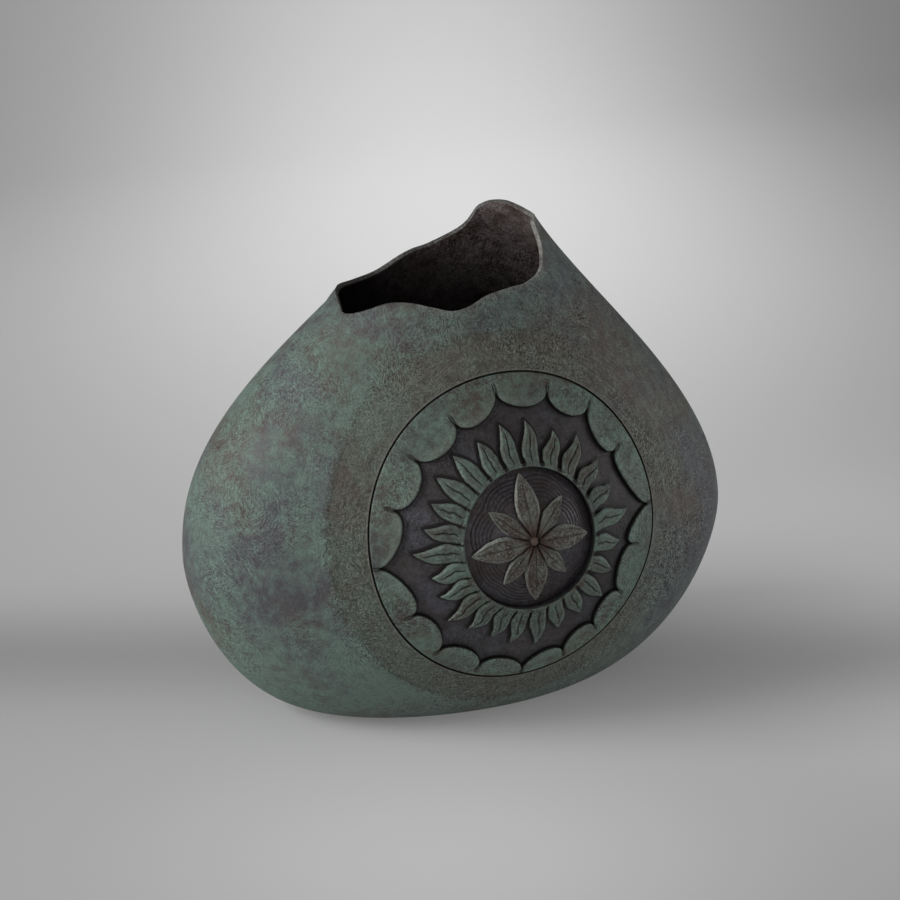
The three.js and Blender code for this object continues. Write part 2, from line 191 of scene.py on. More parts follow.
def inner_point(angle, height, thickness):
    """The inner wall, set further back behind the seat so that the metal there stays whole."""
    point = skin_point(angle, height)
    inner = point - outward_at(angle, height) * thickness
    if point.y < middle_plane:
        radius = math.hypot(point.x - medallion_x, point.z - medallion_z)
        edge = seat_radius + backing_margin
        inner.y += seat_depth * (1 - smooth_step(edge, edge + backing_fade, radius))
    return inner


def land_point(angle, inset, height):
    """A point of the flat foot, inset from its outer edge."""
    side = right_side if math.cos(angle) > 0 else left_side
    x = (side["foot"] - inset) * math.cos(angle)
    y = (front_and_back["foot"] - inset) * math.sin(angle)
    return Vector((x, y + middle_plane, height))


def front_depth(x, z):
    """How far the body's front stands before the middle plane."""
    side = right_side if x > 0 else left_side
    across = x / reach_at(z, side)
    return reach_at(z, front_and_back) * math.sqrt(max(0, 1 - across ** 2)) + swell_at(x, z)


def spun_rows(row_count, sectors, closed):
    """A profile of one corner per row, spun once round. Corner i starts at radius i + 1 and height i."""
    bm = bmesh.new()
    corners = [bm.verts.new((row + 1, 0, row)) for row in range(row_count)]
    for first, second in zip(corners, corners[1:]):
        bm.edges.new((first, second))
    if closed:
        bm.edges.new((corners[-1], corners[0]))
    bmesh.ops.spin(bm, geom=bm.verts[:] + bm.edges[:], axis=(0, 0, 1), cent=(0, 0, 0),
                   steps=sectors, angle=math.tau, use_merge=True)
    return bm


def shape_rows(bm, place, marks=None):
    """Moves each spun corner to place(row, angle), and keeps what marks(row, angle) says of it."""
    layers = {name: bm.verts.layers.float.new(name) for name in (marks(0, 0) if marks else {})}
    for corner in bm.verts:
        row = round(corner.co.z)
        angle = math.atan2(corner.co.y, corner.co.x)
        for name, layer in layers.items():
            corner[layer] = marks(row, angle)[name]
        corner.co = place(row, angle)


def close_and_turn_out(bm, merge=merged_within):
    bmesh.ops.remove_doubles(bm, verts=bm.verts[:], dist=merge)
    bmesh.ops.dissolve_degenerate(bm, edges=bm.edges[:], dist=merge)
    bmesh.ops.recalc_face_normals(bm, faces=bm.faces[:])
    return bm


def spun_form(row_count, sectors, closed, place, marks=None):
    """A profile spun round, then shaped and marked by place(row, angle) and marks(row, angle)."""
    bm = spun_rows(row_count, sectors, closed)
    shape_rows(bm, place, marks)
    return close_and_turn_out(bm)


def make_object(name, bm):
    mesh = bpy.data.meshes.new(name)
    bm.to_mesh(mesh)
    bm.free()
    made = bpy.data.objects.new(name, mesh)
    bpy.context.scene.collection.objects.link(made)
    return made


def make_piece(name, bm, material, replaced):
    piece = make_object(name, bm)
    piece.data.shade_smooth()
    piece.data.set_sharp_from_angle(angle=math.radians(sharp_turn))
    piece.data.materials.append(material)
    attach(piece, "root")
    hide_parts(replaced)


def medallion_point(radius, angle, level):
    """A point of the medallion, level above the body's front. The bowl sits a little higher."""
    share = smooth_step(bowl_radius, seat_radius, radius)
    x = medallion_x + radius * math.cos(angle)
    z = medallion_z + bowl_lift * (1 - share) + radius * math.sin(angle)
    return Vector((x, middle_plane - front_depth(x, z) - level, z))


def shell_rows():
    ledge_height = plate_recess + plate_thickness + plate_gap
    rows = [
        lambda a: land_point(a, land_width + plate_ledge, ledge_height),
        lambda a: land_point(a, land_width, ledge_height),
        lambda a: land_point(a, land_width, land_edge),
        lambda a: land_point(a, land_width - land_edge, 0),
        lambda a: land_point(a, 0, 0),
    ]
    for i in range(1, outer_rows + 1):
        share = (i / outer_rows) ** row_crowding
        rows.append(lambda a, share=share: skin_point(a, (lip_at(a) - lip_round) * share))
    for i in range(1, lip_rows):
        turn = math.pi * i / lip_rows
        rows.append(lambda a, turn=turn: lip_point(a, turn))
    for i in range(inner_rows + 1):
        share = (1 - i / inner_rows) ** row_crowding
        rows.append(lambda a, share=share, last=i == inner_rows: inner_row_point(a, share, last))
    rows.append(lambda a: land_point(a, land_width + plate_ledge, floor_thickness))
    return rows


def lip_point(angle, turn):
    """The lip's section is nearly flat on top, with small rounded edges."""
    outer = skin_point(angle, lip_at(angle) - lip_round)
    inner = inner_point(angle, lip_at(angle) - lip_round, lip_thickness)
    across = math.copysign(abs(math.cos(turn)) ** lip_squareness, math.cos(turn))
    rise = (lip_round - lip_flattened) * math.sin(turn) ** lip_squareness
    point = outer.lerp(inner, 0.5 - 0.5 * across)
    point.z += rise
    return point


def inner_row_point(angle, share, last):
    top = lip_at(angle) - lip_round
    height = inner_floor_start + (top - inner_floor_start) * share
    thick = smooth_step(0, thickened_below, top - height)
    point = inner_point(angle, height, lip_thickness + (wall - lip_thickness) * thick)
    if last:
        point.z = floor_thickness
    return point


def shell_mesh():
    rows = shell_rows()
    first_lip = foot_rows + outer_rows
    first_inside = first_lip + lip_rows - 1
    dark_rows = inner_rows / 2

    def marks(row, angle):
        """The lip is rubbed, with the row below it outside, and painted shade makes the inside darker
        downwards.
        """
        on_lip = first_lip <= row < first_inside
        rubbed = 1.0 if on_lip else lip_rub if row == first_lip - 1 else 0.0
        deep = min(1, max(0, (row - first_inside) / dark_rows)) ** 0.7
        return {"inside": 1.0 if row >= first_inside else 0.0, "rubbed": rubbed, "deep": deep}

    return spun_form(len(rows), shell_sectors, closed=True,
                     place=lambda row, angle: rows[row](angle), marks=marks)


def seat_cutter():
    rings = [i / seat_rings * seat_radius for i in range(seat_rings + 1)]
    rows = [(radius, -seat_depth) for radius in rings]
    rows += [(radius, above_seat) for radius in reversed(rings)]
    return make_object("seat_cutter", spun_form(
        len(rows), seat_sectors, closed=False,
        place=lambda row, angle: medallion_point(rows[row][0], angle, rows[row][1])))


def cut_away(bm, cutter):
    """The same mesh with the cutter's shape taken out of it."""
    uncut = make_object("uncut", bm)
    cut = uncut.modifiers.new("seat", "BOOLEAN")
    cut.operation = "DIFFERENCE"
    cut.solver = "EXACT"
    cut.object = cutter
    finished = uncut.evaluated_get(bpy.context.evaluated_depsgraph_get())
    result = bmesh.new()
    result.from_mesh(finished.to_mesh())
    for gone in (uncut, cutter):
        bpy.data.objects.remove(gone)
    return result


def put(tree, kind, sockets=None, **settings):
    """A node of that kind, with each socket linked to an output or set to a value."""
    made = tree.nodes.new(kind)
    for name, value in settings.items():
        setattr(made, name, value)
    set_sockets(tree, made, sockets or {})
    return made


def set_sockets(tree, node, sockets):
    for name, value in sockets.items():
        if isinstance(value, bpy.types.NodeSocket):
            tree.links.new(value, node.inputs[name])
        else:
            node.inputs[name].default_value = value


def new_group(name, inputs, outputs):
    """A shader group. None in inputs gives a vector socket, and a number a value socket set to it."""
    tree = bpy.data.node_groups.new(name, "ShaderNodeTree")
    for socket, value in inputs.items():
        kind = "NodeSocketVector" if value is None else "NodeSocketFloat"
        made = tree.interface.new_socket(socket, in_out="INPUT", socket_type=kind)
        if value is not None:
            made.default_value = value
    for socket in outputs:
        tree.interface.new_socket(socket, in_out="OUTPUT", socket_type="NodeSocketFloat")
    return tree, tree.nodes.new("NodeGroupInput").outputs, tree.nodes.new("NodeGroupOutput").inputs


def maths(tree, operation, *values, clamp=False):
    return put(tree, "ShaderNodeMath", dict(enumerate(values)), operation=operation,
               use_clamp=clamp).outputs[0]


def plus(tree, first, *others):
    for other in others:
        first = maths(tree, "ADD", first, other)
    return first


def minus(tree, first, second):
    return maths(tree, "SUBTRACT", first, second)


def times(tree, first, *others):
    for other in others:
        first = maths(tree, "MULTIPLY", first, other)
    return first


def vector_maths(tree, operation, *values):
    made = put(tree, "ShaderNodeVectorMath", dict(enumerate(values)), operation=operation)
    return made.outputs["Value" if operation in ("LENGTH", "DOT_PRODUCT") else "Vector"]


def scaled(tree, vector, scale):
    made = put(tree, "ShaderNodeVectorMath", {"Vector": vector, "Scale": scale}, operation="SCALE")
    return made.outputs["Vector"]


def joined(tree, x=0.0, y=0.0, z=0.0):
    return put(tree, "ShaderNodeCombineXYZ", {"X": x, "Y": y, "Z": z}).outputs[0]


def ramp(tree, value, low, high, to_low=0.0, to_high=1.0):
    """Runs smoothly from to_low, where the value is low or less, to to_high, where it is high."""
    return put(tree, "ShaderNodeMapRange", {"Value": value, "From Min": low, "From Max": high,
               "To Min": to_low, "To Max": to_high}, interpolation_type="SMOOTHSTEP").outputs["Result"]


def mix_colours(tree, share, first, second):
    made = put(tree, "ShaderNodeMix", {0: share}, data_type="RGBA")
    for index, colour in ((6, first), (7, second)):
        whole = colour if isinstance(colour, bpy.types.NodeSocket) else (*colour, 1)
        set_sockets(tree, made, {index: whole})
    return made.outputs[2]


def shaded(tree, colour, shade):
    """The colour made darker or lighter by a factor."""
    return vector_maths(tree, "MULTIPLY", colour, shade)


def make_rub_strokes():
    """Short fine hairs left by rubbing, each patch of them running its own way."""
    bend_share = 0.4
    tree, given, out = new_group("rub_strokes", {
        "Vector": None, "Patch Size": 0.012, "Hair Width": 0.0006, "Stretch": 0.1, "Offset": 0.0},
        ["Hairs"])
    shifted = vector_maths(tree, "ADD", given["Vector"], joined(tree, x=given["Offset"]))
    patches = maths(tree, "DIVIDE", 1.0, given["Patch Size"])
    wander = put(tree, "ShaderNodeTexNoise", {"Vector": shifted, "Scale": patches, "Detail": 3.0})
    bend = vector_maths(tree, "SUBTRACT", wander.outputs["Color"], (0.5, 0.5, 0.5))
    amount = times(tree, given["Patch Size"], bend_share)
    bent = vector_maths(tree, "ADD", shifted, scaled(tree, bend, amount))
    cells = put(tree, "ShaderNodeTexVoronoi", {"Vector": bent, "Scale": patches, "Randomness": 1.0})
    turned = put(tree, "ShaderNodeVectorRotate", {
        "Vector": bent, "Rotation": scaled(tree, cells.outputs["Color"], math.tau)},
        rotation_type="EULER_XYZ").outputs["Vector"]
    thin = vector_maths(tree, "MULTIPLY", turned, joined(tree, given["Stretch"], 1.0, 1.0))
    hairs = put(tree, "ShaderNodeTexNoise", {
        "Vector": thin, "Scale": maths(tree, "DIVIDE", 1.0, given["Hair Width"]), "Detail": 2.0,
        "Roughness": 0.55})
    tree.links.new(hairs.outputs["Fac"], out["Hairs"])
    return tree


rub_strokes = make_rub_strokes()


def hairs_at(tree, place, patch, width, stretch, offset):
    return put(tree, "ShaderNodeGroup", {
        "Vector": place, "Patch Size": patch, "Hair Width": width, "Stretch": stretch,
        "Offset": offset}, node_tree=rub_strokes).outputs["Hairs"]


def make_patina_clouds():
    """How thick the verdigris lies, in soft clouds broken by blots, and how much lighter or darker the
    rubbing has left it. Tint is a second set of clouds, for the bronze under it."""
    blots_per_cloud = 7.0
    grains_per_metre = 900.0
    blots_in_cover = 2.8
    blots_in_shade = 1.1
    grain_in_shade = 1.5
    hairs_in_cover = 0.35
    hairs_in_shade = 0.7
    scratches_in_shade = 0.45
    tree, given, out = new_group("patina_clouds", {
        "Vector": None, "Cloud Size": 0.05, "Cloud Share": 2.0, "Hair Share": 0.5, "Offset": 0.0},
        ["Cover", "Shade", "Tint", "Height"])
    shifted = vector_maths(tree, "ADD", given["Vector"], joined(tree, z=given["Offset"]))
    broad_scale = maths(tree, "DIVIDE", 1.0, given["Cloud Size"])
    broad = put(tree, "ShaderNodeTexNoise", {"Vector": shifted, "Scale": broad_scale, "Detail": 4.0,
                                             "Roughness": 0.55, "Distortion": 0.3}).outputs["Fac"]
    blots = put(tree, "ShaderNodeTexNoise", {
        "Vector": shifted, "Detail": 5.0, "Roughness": 0.7,
        "Scale": times(tree, broad_scale, blots_per_cloud)}).outputs["Fac"]
    grain = put(tree, "ShaderNodeTexNoise", {"Vector": shifted, "Detail": 2.0, "Roughness": 0.7,
                                             "Scale": grains_per_metre}).outputs["Fac"]
    long_hairs = hairs_at(tree, shifted, patch=0.016, width=0.0008, stretch=0.16, offset=0.0)
    long_hairs = ramp(tree, long_hairs, 0.36, 0.64)
    short_hairs = hairs_at(tree, shifted, patch=0.008, width=0.0006, stretch=0.22, offset=0.31)
    short_hairs = ramp(tree, short_hairs, 0.36, 0.64)
    scratches = hairs_at(tree, shifted, patch=0.040, width=0.0005, stretch=0.03, offset=0.57)
    scratches = ramp(tree, scratches, 0.6, 0.7)
    worn = put(tree, "ShaderNodeTexNoise", {"Vector": shifted, "Detail": 3.0, "Scale": broad_scale})
    worn_parts = put(tree, "ShaderNodeSeparateColor", {"Color": worn.outputs["Color"]}).outputs
    rubbed = ramp(tree, worn_parts["Green"], 0.4, 0.62, 0.3, 1.2)
    tree.links.new(ramp(tree, worn_parts["Blue"], 0.4, 0.6), out["Tint"])

    def away(value, factor):
        return times(tree, minus(tree, value, 0.5), factor)

    hairs = plus(tree, away(long_hairs, rubbed), away(short_hairs, rubbed))
    cover = plus(tree, away(broad, given["Cloud Share"]), away(blots, blots_in_cover),
                 times(tree, hairs, hairs_in_cover))
    tree.links.new(maths(tree, "ADD", cover, 0.5, clamp=True), out["Cover"])
    shade = plus(tree, times(tree, hairs, hairs_in_shade), away(grain, grain_in_shade),
                 away(blots, blots_in_shade), times(tree, scratches, scratches_in_shade))
    tree.links.new(plus(tree, times(tree, shade, given["Hair Share"]), 1.0), out["Shade"])
    tree.links.new(plus(tree, hairs, blots), out["Height"])
    return tree


patina_clouds = make_patina_clouds()


def new_material(name):
    material = bpy.data.materials.new(name)
    material.use_nodes = True
    tree = material.node_tree
    tree.nodes.clear()
    shader = tree.nodes.new("ShaderNodeBsdfPrincipled")
    out = tree.nodes.new("ShaderNodeOutputMaterial")
    tree.links.new(shader.outputs[0], out.inputs[0])
    place = tree.nodes.new("ShaderNodeTexCoord").outputs["Object"]
    return material, tree, shader, place


def split_place(tree, place):
    parts = put(tree, "ShaderNodeSeparateXYZ", {"Vector": place}).outputs
    return parts["X"], parts["Y"], parts["Z"]


def mark(tree, name):
    return put(tree, "ShaderNodeAttribute", attribute_name=name).outputs["Fac"]


def patina(tree, place, cloud_size, cloud_share, hair_share, offset=0.0):
    return put(tree, "ShaderNodeGroup", {
        "Vector": place, "Cloud Size": cloud_size, "Cloud Share": cloud_share,
        "Hair Share": hair_share, "Offset": offset}, node_tree=patina_clouds).outputs


def finish_bronze(tree, shader, clouds, skin, metal, gloss, roughness, relief, depth=0.0003):
    """Gives the shader its skin colour, and raises it a little where the patina lies thick."""
    raised = put(tree, "ShaderNodeBump", {"Height": clouds["Height"], "Strength": relief,
                                          "Distance": depth}).outputs[0]
    set_sockets(tree, shader, {"Base Color": skin, "Metallic": metal, "Specular IOR Level": gloss,
                               "Roughness": roughness, "Normal": raised})


def ring_streaks(tree, x, z, radius):
    """Fine streaks that run round the medallion, as left by polishing up to its seat."""
    angle = maths(tree, "ARCTAN2", minus(tree, z, medallion_z), minus(tree, x, medallion_x))
    unrolled = joined(tree, times(tree, radius, streaks_outwards), times(tree, angle, streaks_round))
    streaks = put(tree, "ShaderNodeTexNoise", {"Vector": unrolled, "Scale": 1.0, "Detail": 3.0})
    return ramp(tree, streaks.outputs["Fac"], 0.35, 0.65)


def shell_bronze():
    material, tree, shader, place = new_material("shell_bronze")
    x, y, z = split_place(tree, place)
    clouds = patina(tree, place, cloud_size=0.045, cloud_share=3.0,
                    hair_share=ramp(tree, x, -0.08, 0.08, 0.42, 1.15))
    greener = ramp(tree, x, -0.11, 0.1, 1.0, 0.45)
    flat = vector_maths(tree, "MULTIPLY", vector_maths(
        tree, "SUBTRACT", place, (medallion_x, 0, medallion_z)), (1, 0, 1))
    radius = vector_maths(tree, "LENGTH", flat)
    front = ramp(tree, y, middle_plane - 0.004, middle_plane, 1.0, 0.0)

    # The hatched band round the medallion, with its ragged dark outer edge.
    ragged = plus(tree, radius, times(tree, clouds["Height"], band_raggedness))
    band_start = seat_radius + band_width - band_fade
    band = times(tree, front, ramp(tree, ragged, band_start, band_start + band_fade, 1.0, 0.0),
                 ramp(tree, x, 0.02, 0.085, 1.0, 0.3))
    brink = times(tree, band, ramp(tree, ragged, band_start - 0.002, band_start + 0.001))
    hatch = hairs_at(tree, place, patch=0.010, width=0.0007, stretch=0.12, offset=1.3)
    hatch = times(tree, band, ramp(tree, hatch, 0.38, 0.62, -0.3, 0.3))

    # Verdigris over brown bronze, thin in the band and thick low down.
    bare = minus(tree, 1.0, times(tree, band, 0.5))
    low = ramp(tree, z, 0.015, 0.09, 0.4, 0.0)
    cover = times(tree, maths(tree, "ADD", clouds["Cover"], low, clamp=True), times(tree, greener, bare))
    brown = mix_colours(tree, clouds["Tint"], shell_brown, shell_violet)
    skin = mix_colours(tree, cover, mix_colours(tree, band, brown, band_brown), shell_verdigris)

    # Lighter and darker: polishing streaks round the medallion, and painted light, which makes the band
    # lighter at its top than below it and the whole skin lighter low down.
    near = times(tree, front, ramp(tree, radius, seat_radius + 0.02, seat_radius + 0.04, 0.34, 0.0),
                 ramp(tree, x, 0, 0.1, 0.6, 1.7), ramp(tree, clouds["Tint"], 0, 1, 0.5, 1.0))
    streaks = times(tree, minus(tree, ring_streaks(tree, x, z, radius), 0.5), near)
    # Painted light: the band is lighter at its top and darker below it.
    high = ramp(tree, z, medallion_z + 0.03, medallion_z + 0.09, 0.88, 1.12)
    darker = minus(tree, 1.0, times(tree, band, minus(tree, 1.0, high)))
    darker = plus(tree, darker, ramp(tree, brink, 0, 1, 0.0, -brink_darkness))
    skin = shaded(tree, skin, plus(tree, streaks, hatch, darker))
    skin = shaded(tree, skin, clouds["Shade"])
    # Painted light: the whole skin is lighter low down.
    skin = shaded(tree, skin, ramp(tree, z, 0.03, 0.12, 1.22, 1.0))

    # The seat: its rim, rubbed and lit by a painted highlight, and the dark metal down in it.
    rim = times(tree, front, ramp(tree, radius, seat_radius + 0.0003, seat_radius + 0.001, 0.45, 0.0))
    skin = mix_colours(tree, rim, skin, seat_rim_rub_and_highlight)
    seat = times(tree, front, ramp(tree, radius, seat_radius - 0.0001, seat_radius + 0.0001, 1.0, 0.0))
    skin = mix_colours(tree, seat, skin, seat_brown)

    # The worn lip, and the red-brown lining, both darkened by painted shade: the lip towards the back
    # and the right, the lining on the left and deeper down.
    worn = shaded(tree, mix_colours(tree, clouds["Cover"], lip_brown, lip_grey), clouds["Shade"])
    behind = plus(tree, y, times(tree, x, -0.7))
    # Painted shade: the lip is darker towards the back and the right.
    worn = shaded(tree, worn, ramp(tree, behind, middle_plane - 0.02, middle_plane + 0.01, 0.95, 0.5))
    skin = mix_colours(tree, mark(tree, "rubbed"), skin, worn)
    lining = shaded(tree, mix_colours(tree, clouds["Cover"], lining_brown, lining_grey), clouds["Shade"])
    # Painted shade: the lining is darker on the left.
    lining = shaded(tree, lining, ramp(tree, x, -0.05, 0.05, 0.15, 1.05))
    # Painted shade: the lining darkens deeper down.
    lining = mix_colours(tree, mark(tree, "deep"), lining, lining_painted_shade)
    skin = mix_colours(tree, mark(tree, "inside"), skin, lining)
    finish_bronze(tree, shader, clouds, skin, metal=0.2, gloss=0.3,
                  roughness=ramp(tree, cover, 0, 1, 0.56, 0.68), relief=0.3, depth=0.0004)
    return material


shell_cut = cut_away(shell_mesh(), seat_cutter())
make_piece("body_shell_skin", shell_cut, shell_bronze(), "body_shell")


# Base plate: a thin bronze plate that closes the foot from below, let in against a ledge. It is cut
# from sheet, with a softened edge, and stays unpolished.
plate_edge = 0.0004
plate_sides = 192
base_brown = (0.05, 0.045, 0.04)
base_grey = (0.1, 0.095, 0.085)


def plain_bronze(name, dark, light, roughness, metal, cloud_size=0.03):
    """A skin of two colours in clouds, rougher where it is light."""
    material, tree, shader, place = new_material(name)
    clouds = patina(tree, place, cloud_size, cloud_share=2.0, hair_share=0.4)
    skin = shaded(tree, mix_colours(tree, clouds["Cover"], dark, light), clouds["Shade"])
    finish_bronze(tree, shader, clouds, skin, metal=metal, gloss=0.5,
                  roughness=ramp(tree, clouds["Cover"], 0, 1, roughness, roughness + 0.15), relief=0.2)
    return material


def plate_mesh():
    bm = bmesh.new()
    bmesh.ops.create_circle(bm, cap_ends=True, segments=plate_sides, radius=1)
    for corner in bm.verts:
        angle = math.atan2(corner.co.y, corner.co.x)
        corner.co = land_point(angle, land_width + plate_gap, plate_recess)
    grown = bmesh.ops.extrude_face_region(bm, geom=bm.faces[:])
    risen = [part for part in grown["geom"] if isinstance(part, bmesh.types.BMVert)]
    bmesh.ops.translate(bm, verts=risen, vec=(0, 0, plate_thickness))
    bmesh.ops.recalc_face_normals(bm, faces=bm.faces[:])
    rims = [edge for edge in bm.edges if edge.calc_face_angle(0) > math.radians(60)]
    rims = [edge for edge in rims if abs(edge.verts[0].co.z - edge.verts[1].co.z) < merged_within]
    bmesh.ops.bevel(bm, geom=rims, offset=plate_edge, offset_type="OFFSET", affect="EDGES",
                    segments=3, profile=0.5, material=-1)
    return bm


base_bronze = plain_bronze("base_bronze", base_brown, base_grey, roughness=0.45, metal=0.6)
make_piece("base_plate_skin", plate_mesh(), base_bronze, "base_plate")


# Base seal: the bead of soft solder run round the plate, in the corner between it and the foot.
# It lies in small ripples, as solder does where it was run in short lengths.
seal_width = 0.002
seal_height = 0.00085
seal_squareness = 0.8
seal_ripple = 0.12
seal_ripples_round = 8
seal_rows = 10
seal_sectors = 256
solder_dark = (0.2, 0.2, 0.19)
solder_light = (0.3, 0.3, 0.29)


def flat_point(radius, angle):
    return Vector((radius * math.cos(angle), radius * math.sin(angle), 0))


def seal_mesh():
    top = plate_recess - plate_gap

    def place(row, angle):
        turn = math.pi * row / (seal_rows - 1)
        ripple = 1 + seal_ripple * noise.noise(flat_point(seal_ripples_round, angle))
        inset = plate_gap + seal_width * (0.5 - 0.5 * math.cos(turn))
        drop = seal_height * ripple * math.sin(turn) ** seal_squareness
        return land_point(angle, land_width + inset, top - drop)

    return spun_form(seal_rows, seal_sectors, closed=True, place=place)


solder = plain_bronze("solder", solder_dark, solder_light, roughness=0.35, metal=0.8)
make_piece("base_seal_bead", seal_mesh(), solder, "base_seal")


# Medallion ground: a domed bronze disc that lies on the seat, with a violet-grey patina. The border,
# the flames and the bowl stand on it or in it, and dark patina and painted shade darken it along their
# edges. Painted shade also darkens it towards the right.
fit_gap = 0.0003
leaf_gap = 0.0005
ground_level = -0.0028
groove_width = 0.001
border_radius = seat_radius - groove_width
cusp_room = 0.007
cusps = [
    (1.6, 0.24), (30.5, 1.56), (51.4, 0.86), (72, 0.96), (95.3, 0.97), (117.5, 1.63),
    (140.7, 1.37), (163.2, 1.21), (187, 0.23), (210, 1.13), (231, 0.7), (250.9, 0.67),
    (271, 0.23), (289.2, 0.61), (305.8, 1.03), (324, 1.41), (346.7, 1.9),
]
lobe_depth = 0.0086
lobe_points = 60
ground_rows = 64
ground_sectors = 480
ground_edge = 0.0003
ground_unevenness = 0.0001
unevenness_per_metre = 180
ground_dark = (0.04, 0.035, 0.034)
ground_brown = (0.064, 0.057, 0.058)
ground_violet = (0.076, 0.074, 0.09)
ground_edge_patina_and_shade = (0.009, 0.006, 0.006)


def cusp_at(index):
    turn, share = cusps[index % len(cusps)]
    return math.radians(turn + 360 * (index // len(cusps))), border_radius - cusp_room * share


def scallop_at(index, share):
    """Angle and radius of a point of one round lobe, share of the way from its cusp to the next."""
    start, start_reach = cusp_at(index)
    end, end_reach = cusp_at(index + 1)
    bulge = math.sqrt(max(0, 1 - (2 * share - 1) ** 2))
    angle = start + (end - start) * share
    return angle, start_reach + (end_reach - start_reach) * share - lobe_depth * bulge


flame_count = 25
flame_room = 0.0089
flame_length = 0.0153
flame_half_width = 0.0046
flame_width_vary = 0.0003
flame_width_waves = 20
flame_wedge = 6.4
flame_root_fullness = 0.3
flame_reach = 0.007
flame_reach_waves = 8
flame_slant_cut = 0.4
flame_turn = 93
flame_drift = 6
flame_drift_from = 130
flame_hand_turn = 45
flame_sway = 0.0011
flame_lean = 0.0024
flame_tip = border_radius - cusp_room - lobe_depth - flame_room
flame_root = flame_tip - flame_length
leaf_fullness = 0.85
leaf_jitter = 0.0003
leaf_points = 60


def flame_facts(index):
    """The sizes of one flame. The flames near flame_hand_turn bend one way, and those opposite bend the
    other way, every second one more than its neighbours."""
    even = flame_turn - 360 / flame_count * index
    turn = math.radians(even + flame_drift * math.cos(math.radians(even - flame_drift_from)))
    hand = math.cos(turn - math.radians(flame_hand_turn))
    bend = flame_lean if index % 2 else flame_lean / 2
    cut = 1 - flame_slant_cut * abs(math.sin(2 * turn))
    return dict(
        place=(0, 0),
        root=flame_root - fit_gap,
        tip=flame_tip + flame_reach * cut * max(0, math.cos(flame_reach_waves * turn)),
        turn=turn,
        wedge=flame_wedge,
        half_width=flame_half_width + flame_width_vary * math.cos(flame_width_waves * turn),
        root_fullness=flame_root_fullness,
        axis=lambda share: hand * (bend * share ** 2 + flame_sway * math.sin(math.tau * share)))


def round_place(place, radius, angle):
    """Radius and angle on the medallion of a point seen from another middle, which lies at place."""
    x = place[0] + radius * math.cos(angle)
    y = place[1] + radius * math.sin(angle)
    return math.hypot(x, y), math.atan2(y, x)


def leaf_place(leaf, share, side):
    """Radius and angle on the medallion of a point of a leaf, side -1 to 1 across it."""
    along = leaf["root"] + (leaf["tip"] - leaf["root"]) * share
    filled = leaf["root_fullness"] + (1 - leaf["root_fullness"]) * share
    fullness = max(0, math.sin(math.pi * filled)) ** leaf_fullness
    room = along * math.tan(math.radians(leaf["wedge"])) - fit_gap / 2
    spread = min(leaf["half_width"] * fullness, room)
    jitter = leaf_jitter * noise.noise(Vector((9 * share, 9 * leaf["turn"], 4 * side)))
    sideways = leaf["axis"](share) + side * spread + jitter * min(1, spread / 0.001)
    return round_place(leaf["place"], math.hypot(along, sideways),
                       leaf["turn"] + math.atan2(sideways, along))


def edge_finder(points):
    """A function that gives the distance to the nearest of the points."""
    tree = kdtree.KDTree(len(points))
    for index, point in enumerate(points):
        tree.insert(point, index)
    tree.balance()
    return lambda radius, angle: tree.find(flat_point(radius, angle))[2]


def relief_outline():
    points = []
    for index in range(len(cusps)):
        for step in range(lobe_points):
            angle, radius = scallop_at(index, 0.5 - 0.5 * math.cos(math.pi * step / lobe_points))
            points.append(flat_point(radius, angle))
    for index in range(flame_count):
        for step in range(leaf_points + 1):
            for side in (-1, 1):
                radius, angle = leaf_place(flame_facts(index), step / leaf_points, side)
                points.append(flat_point(radius, angle))
    return points


to_relief = edge_finder(relief_outline())


def ground_mesh():
    bottom = fit_gap - seat_depth
    outer = seat_radius - fit_gap
    reach = outer - ground_edge - bowl_radius
    radii = [bowl_radius + reach * i / ground_rows for i in range(ground_rows + 1)]
    rows = [(bowl_radius, bottom)] + [(radius, ground_level) for radius in radii]
    rows += [(outer, ground_level - ground_edge), (outer, bottom)]

    def place(row, angle):
        radius, level = rows[row]
        if level == ground_level:
            level += ground_unevenness * noise.noise(unevenness_per_metre * flat_point(radius, angle))
        return medallion_point(radius, angle, level)

    return spun_form(len(rows), ground_sectors, closed=True, place=place,
                     marks=lambda row, angle: {"from_relief": to_relief(rows[row][0], angle)})


def ground_bronze():
    material, tree, shader, place = new_material("ground_bronze")
    clouds = patina(tree, place, cloud_size=0.025, cloud_share=2.0, hair_share=0.45, offset=0.4)
    x = split_place(tree, place)[0]
    violet = mix_colours(tree, clouds["Tint"], ground_brown, ground_violet)
    skin = shaded(tree, mix_colours(tree, clouds["Cover"], ground_dark, violet), clouds["Shade"])
    # Painted shade: the ground is darker towards the right.
    skin = shaded(tree, skin, ramp(tree, x, 0.01, 0.065, 1.05, 0.65))
    far = mark(tree, "from_relief")
    # Dark patina and painted shade along the edges of the relief.
    skin = shaded(tree, skin, ramp(tree, far, 0.0, 0.006, 0.75, 1.0))
    skin = mix_colours(tree, ramp(tree, far, 0.0007, 0.0017, 0.92, 0.0), skin, ground_edge_patina_and_shade)
    finish_bronze(tree, shader, clouds, skin, metal=0.25, gloss=0.35, roughness=0.55, relief=0.2)
    return material


make_piece("medallion_ground_disc", ground_mesh(), ground_bronze(),
           "medallion_ground")


# Scalloped border: a cast ring of seventeen round lobes that meet in cusps, soldered to the ground's
# rim. Its lobes have rolled edges, and two short chased cracks run on from each cusp.
border_level = 0
border_softening = 0.0005
roll_height = 0.0012
roll_width = 0.0016
roll_rows = 8
flat_rows = 10
edge_rows = 4
crack_length = 0.0055
crack_depth = 0.0005
crack_offset = 2.4
crack_width = 1.1
lobe_steps = 28
relief_brown = (0.09, 0.074, 0.064)
relief_grey = (0.074, 0.076, 0.074)
relief_verdigris = (0.124, 0.176, 0.149)
relief_rubbed = (0.2, 0.25, 0.215)
relief_sunk = (0.014, 0.01, 0.009)


